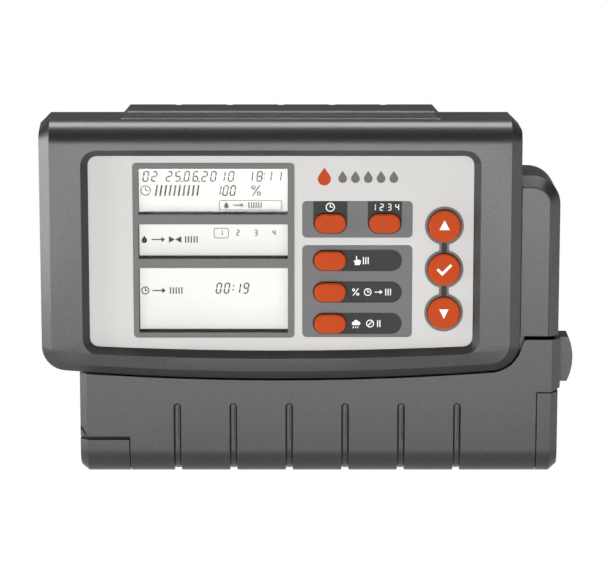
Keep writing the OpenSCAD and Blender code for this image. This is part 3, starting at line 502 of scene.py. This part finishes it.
def percent(x, z, width, height, line):
    r = height * 0.21
    return ([stroke([(x + width * 0.12, z), (x + width * 0.88, z + height)], line)]
            + ring(x + r, z + height - r, r, line, steps=20)
            + ring(x + width - r, z + r, r, line, steps=20))


def arrow(x0, x1, z, line, head):
    """An arrow pointing right from x0 to x1."""
    half, neck, wing = line / 2, x1 - head, head * 0.75
    return [[(x0, z - half), (neck, z - half), (neck, z - wing), (x1, z), (neck, z + wing),
             (neck, z + half), (x0, z + half)]]


def valve(x, z, width, height):
    """The usual drawing symbol of a valve: two triangles point to point."""
    gap, w, h = 0.06, width / 2, height / 2
    return [[(x - w, z - h), (x - gap, z), (x - w, z + h)],
            [(x + w, z - h), (x + w, z + h), (x + gap, z)]]


def bars(x, z, count, pitch, width, height, lean=0.0):
    shift = lean * height
    return [[(left, z), (left + width, z), (left + width + shift, z + height),
             (left + shift, z + height)] for left in (x + i * pitch for i in range(count))]


# a pressing hand, one finger up over a rounded fist: (x, z) at scale 1
HAND = [(0.0, 0.0), (1.9, 0.0), (2.3, 0.7), (2.3, 1.7), (2.0, 1.95), (1.6, 1.95), (1.3, 2.0),
        (1.0, 2.0), (1.0, 3.3), (0.8, 3.5), (0.55, 3.3), (0.55, 1.5), (0.1, 1.8),
        (-0.25, 1.7), (-0.25, 1.4), (0.2, 0.8)]
# a cloud of three lobes at scale 1
CLOUD = (arc(0.75, 0.75, 0.75, 270, 115, 8) + arc(1.75, 1.35, 0.95, 165, 25, 10)
         + arc(2.85, 0.8, 0.8, 65, -90, 8))


def placed(outline, x, z, scale):
    return [[(x + a * scale, z + b * scale) for a, b in outline]]


# ------------------------------------------------------------------ display

ROW_1 = dict(z=59.15, width=2.45, height=4.45, line=0.6)
ROW_2 = dict(z=53.4, width=2.4, height=4.45, line=0.6)
RUN_ROW = dict(z=13.4, width=2.3, height=4.6, line=0.56)
SMALL_BARS = dict(count=5, pitch=1.15, width=0.5, height=2.7)
SMALL_ARROW = dict(line=0.46, head=1.5)
VALVE_BARS_Z = 34.35
VALVE_Z = VALVE_BARS_Z + SMALL_BARS["height"] / 2
RUN_Z = RUN_ROW["z"] + SMALL_BARS["height"] / 2

lcd_sign("lcd_row_1", row("02", x=-71.0, pitch=3.4, **ROW_1)
         + row("25.06.2010", x=-61.7, pitch=3.56, **ROW_1)
         + row("18:11", x=-29.2, pitch=3.82, **ROW_1))
lcd_sign("lcd_row_2", row("100", x=-42.0, pitch=2.95, **ROW_2))
lcd_sign("lcd_row_2_meter", clock(-69.6, 55.65, radius=2.1, line=0.42)
         + bars(-66.0, ROW_2["z"], count=10, pitch=1.85, width=0.75, height=ROW_2["height"],
                lean=LEAN))
lcd_sign("lcd_row_2_percent", percent(-27.2, 53.5, width=4.0, height=4.3, line=0.5))
lcd_sign("lcd_state_box", box_frame(-40.2, 47.55, -14.8, 51.8, radius=1.0)
         + drop(-37.2, 48.4, width=1.9, height=2.6)
         + arrow(-34.4, -30.2, 49.7, line=0.42, head=1.2)
         + bars(-28.4, 48.5, count=6, pitch=1.0, width=0.46, height=2.4))
lcd_sign("lcd_channels", channel_numbers((-40.1, -33.3, -26.0, -18.8), 37.15, width=1.4,
                                         height=2.6, line=0.42)
         + box_frame(-42.3, 36.2, -36.3, 40.4, radius=0.9))
lcd_sign("lcd_valve_sign", drop(-70.3, 34.2, width=2.2, height=3.1)
         + arrow(-67.4, -61.9, VALVE_Z, **SMALL_ARROW)
         + valve(-57.9, VALVE_Z, width=5.0, height=2.7)
         + bars(-53.9, VALVE_BARS_Z, **SMALL_BARS))
lcd_sign("lcd_run_sign", clock(-70.1, RUN_Z, radius=1.65, line=0.42)
         + arrow(-67.2, -61.8, RUN_Z, **SMALL_ARROW)
         + bars(-60.2, RUN_ROW["z"], **SMALL_BARS))
lcd_sign("lcd_run_digits", row("00", x=-41.9, pitch=3.25, **RUN_ROW)
         + row(":19", x=-34.2, pitch=3.3, **RUN_ROW))

# ------------------------------------------------------------------ dark labels on the key fields

# long keys: left, bottom, right
LONG_KEYS = {"time": (-1.65, 39.9, 10.7), "channel": (20.1, 39.9, 32.45),
             "manual": (-1.9, 24.7, 10.75), "percent": (-1.9, 11.8, 10.75),
             "rain": (-1.9, -1.05, 10.75)}
LONG_KEY_HEIGHT = 7.6
KEY_GAP = 0.34                          # between a key and the label around it
LABEL_SIDE, LABEL_BASE = 0.62, 0.55     # label margins beside and under (or over) a key
TALL_LABEL_TOP, TALL_LABEL_RADIUS = 52.5, 4.2
WIDE_LABEL_RIGHT, WIDE_LABEL_RADIUS = 33.25, 4.3

ROUND_KEY_X = 50.15
UP_Z, OK_Z, DOWN_Z = 42.56, 24.95, 7.19
ROUND_KEY_REACH = 6.45 + 0.42           # key radius and the gap to a label bar
LABEL_BAR_HALF = 1.05


def key_hole(x0, z0, x1):
    return rounded_box(x0 - KEY_GAP, z0 - KEY_GAP, x1 + KEY_GAP, z0 + LONG_KEY_HEIGHT + KEY_GAP,
                       LONG_KEY_HEIGHT / 2 + KEY_GAP)[::-1]


def tall_label(x0, z0, x1):
    """Around a key and up over it, with square upper corners."""
    left, right, r = x0 - LABEL_SIDE, x1 + LABEL_SIDE, TALL_LABEL_RADIUS
    z = z0 - LABEL_BASE + r
    return ([(right, TALL_LABEL_TOP), (left, TALL_LABEL_TOP)]
            + arc(left + r, z, r, 180, 270, 10) + arc(right - r, z, r, 270, 360, 10))


def wide_label(x0, z0, _x1):
    """Around a key and out to its right."""
    return rounded_box(x0 - LABEL_SIDE, z0 - LABEL_BASE, WIDE_LABEL_RIGHT,
                       z0 + LONG_KEY_HEIGHT + LABEL_BASE, WIDE_LABEL_RADIUS, steps=12)


for key, spot in LONG_KEYS.items():
    outline = tall_label if key in ("time", "channel") else wide_label
    field_label("label_" + key, [outline(*spot), key_hole(*spot)])

for number, (lower, upper) in enumerate(((OK_Z, UP_Z), (DOWN_Z, OK_Z)), start=1):
    left, right = ROUND_KEY_X - LABEL_BAR_HALF, ROUND_KEY_X + LABEL_BAR_HALF
    low, high = lower + ROUND_KEY_REACH, upper - ROUND_KEY_REACH
    field_label("label_bar_%d" % number,
                [[(left, low), (right, low), (right, high), (left, high)]])

# ------------------------------------------------------------------ white signs

KEY_BARS = dict(pitch=0.95, width=0.42)

white_sign("sign_time", clock(4.5, 50.15, radius=1.85, line=0.4))
white_sign("sign_channel", channel_numbers((21.1, 24.2, 27.3, 30.4), 48.7, width=1.6,
                                           height=2.9, line=0.38))
white_sign("sign_manual", placed(HAND, 14.2, 26.6, scale=1.1)
           + bars(17.6, 27.0, count=3, height=2.9, **KEY_BARS))
white_sign("sign_percent", percent(13.3, 14.1, width=2.9, height=3.0, line=0.4)
           + clock(19.6, 15.6, radius=1.55, line=0.36)
           + arrow(22.4, 25.6, 15.6, line=0.4, head=1.2)
           + bars(26.6, 14.2, count=3, height=2.8, **KEY_BARS))
# cloud with three rain strokes, a ring with a slash, two bars
white_sign("sign_rain", placed(CLOUD, 13.2, 2.0, scale=0.95)
           + [stroke([(14.0 + 0.9 * i, 1.5), (13.7 + 0.9 * i, 0.8)], 0.34) for i in range(3)]
           + ring(20.6, 2.7, radius=1.6, line=0.38)
           + [stroke([(19.85, 1.95), (21.35, 3.45)], 0.36)]
           + bars(23.4, 1.3, count=2, height=2.8, **KEY_BARS))

# signs on the round keys: name, key, key centre z, outline about the key centre
TICK = stroke([(ROUND_KEY_X + x, OK_Z + z) for x, z in ((-2.7, 0.2), (-0.8, -1.7), (2.8, 1.9))],
              1.05)
for name, key, outline in (
        ("sign_up", "key_up", placed([(-2.05, -1.45), (2.05, -1.45), (0, 2.5)],
                                     ROUND_KEY_X, UP_Z, scale=1)),
        ("sign_down", "key_down", placed([(-1.85, 1.6), (0, -2.3), (1.85, 1.6)],
                                         ROUND_KEY_X, DOWN_Z, scale=1)),
        ("sign_confirm", "key_ok", [TICK])):
    white_sign(name, outline, key + "_cap", front_of(key))

# drops on the panel above the display
plate("drop_large", drop(2.1, 58.9, width=5.2, height=7.2), Y_PANEL - PRINT, PRINT, KEY,
      CONTROL_UNIT)
plate("drop_row", [drop(9.4 + 5.1 * i, 59.9, width=3.5, height=4.9)[0] for i in range(5)],
      Y_PANEL - PRINT, PRINT, GREY_INK, CONTROL_UNIT)


# ------------------------------------------------------------------ floor, world, lights, camera

# ambient strength from the front (-Y) and from the back
WORLD_FRONT, WORLD_BACK = 0.04, 0.11
# name, place, aim, width, radiance, height
LIGHTS = [
    ("front_high", (0.0, -0.80, -0.0080), (0.0, -0.03, -0.0080), 0.90, 12.0, 0.144),
    ("front_low", (0.0, -0.80, -0.25), (0.0, -0.03, -0.25), 0.90, 1.65, 0.34),
    ("left_strip", (-0.80, -0.12, 0.10), (-0.10, -0.03, 0.0), 0.35, 12.6, 0.51),
    ("right_strip", (0.80, -0.12, -0.05), (0.10, -0.03, 0.0), 0.35, 1.6, 0.45),
    ("top_strip", (0.0, 0.176, 0.96), (0.0, -0.035, 0.08), 1.50, 10.0, 0.52),
    ("back_box", (0.0, 0.90, -0.24), (0.0, 0.0, -0.10), 1.10, 3.0, 0.34),
]
WHITE = (1, 1, 1, 1)


def floor_material():
    """Plain white to the camera and in reflections, a matt surface for all other light."""
    made = bpy.data.materials.new("floor_pale")
    made.use_nodes = True
    tree = made.node_tree
    matt = tree.nodes["Principled BSDF"]
    ray = add_node(tree, "ShaderNodeLightPath").outputs
    glossy = ray["Is Glossy Ray"]
    seen = math_node(tree, "MAXIMUM", ray["Is Camera Ray"], glossy)
    dimmed = math_node(tree, "MULTIPLY_ADD", glossy, -0.20, 1.0)
    white = add_node(tree, "ShaderNodeEmission", {0: WHITE, 1: dimmed})
    tree.links.new(mix_shaders(tree, seen, matt, white),
                   tree.nodes["Material Output"].inputs[0])
    shade = map_range(tree, noise(tree, Scale=6.0), to_min=0.98, to_max=1.0)
    tree.links.new(scale_colour(tree, (0.93, 0.93, 0.93), shade), matt.inputs["Base Color"])
    matt.inputs["Roughness"].default_value = 0.9
    matt.inputs["Specular IOR Level"].default_value = 0.1
    return made


def build_world():
    """White to the camera, a weak front-to-back gradient for all other light."""
    world = bpy.data.worlds.new("studio")
    bpy.context.scene.world = world
    world.use_nodes = True
    tree = world.node_tree
    tree.nodes.clear()
    seen = add_node(tree, "ShaderNodeBackground", {0: WHITE, 1: 1.0})
    place = add_node(tree, "ShaderNodeTexCoord").outputs["Generated"]
    axes = add_node(tree, "ShaderNodeSeparateXYZ", {0: place})
    strength = map_range(tree, axes.outputs["Y"], from_min=-0.1, from_max=0.6,
                         to_min=WORLD_FRONT, to_max=WORLD_BACK)
    ambient = add_node(tree, "ShaderNodeBackground", {1: strength})
    camera_ray = add_node(tree, "ShaderNodeLightPath").outputs["Is Camera Ray"]
    add_node(tree, "ShaderNodeOutputWorld", {0: mix_shaders(tree, camera_ray, ambient, seen)})


def area_light(name, place, aim, width, radiance, height):
    light = bpy.data.lights.new(name, "AREA")
    light.shape = "RECTANGLE"
    light.size = width
    light.size_y = height
    light.energy = radiance * math.pi * light.size * light.size_y
    lamp = bpy.data.objects.new(name, light)
    bpy.context.collection.objects.link(lamp)
    lamp.location = place
    lamp.rotation_euler = (Vector(aim) - Vector(place)).to_track_quat("-Z", "Y").to_euler()
    lamp.visible_camera = False


def build_camera():
    lens = bpy.data.cameras.new("camera")
    lens.lens = 171.49
    lens.sensor_width = 36.0
    lens.sensor_fit = "HORIZONTAL"
    lens.clip_end = 50
    camera = bpy.data.objects.new("camera", lens)
    bpy.context.collection.objects.link(camera)
    camera.location = (-0.006, -1.17822, 0.24065)
    camera.rotation_euler = (math.radians(79.0), 0, 0)
    bpy.context.scene.camera = camera


bpy.ops.mesh.primitive_plane_add(size=14.0, location=(0, 3.0, -0.45))
floor = bpy.context.object
floor.name = "floor"
floor.data.materials.append(floor_material())

build_world()
for entry in LIGHTS:
    area_light(*entry)
build_camera()

view = bpy.context.scene.view_settings
view.view_transform = "Standard"
view.look = "None"
view.exposure = 0.0
view.gamma = 1.0
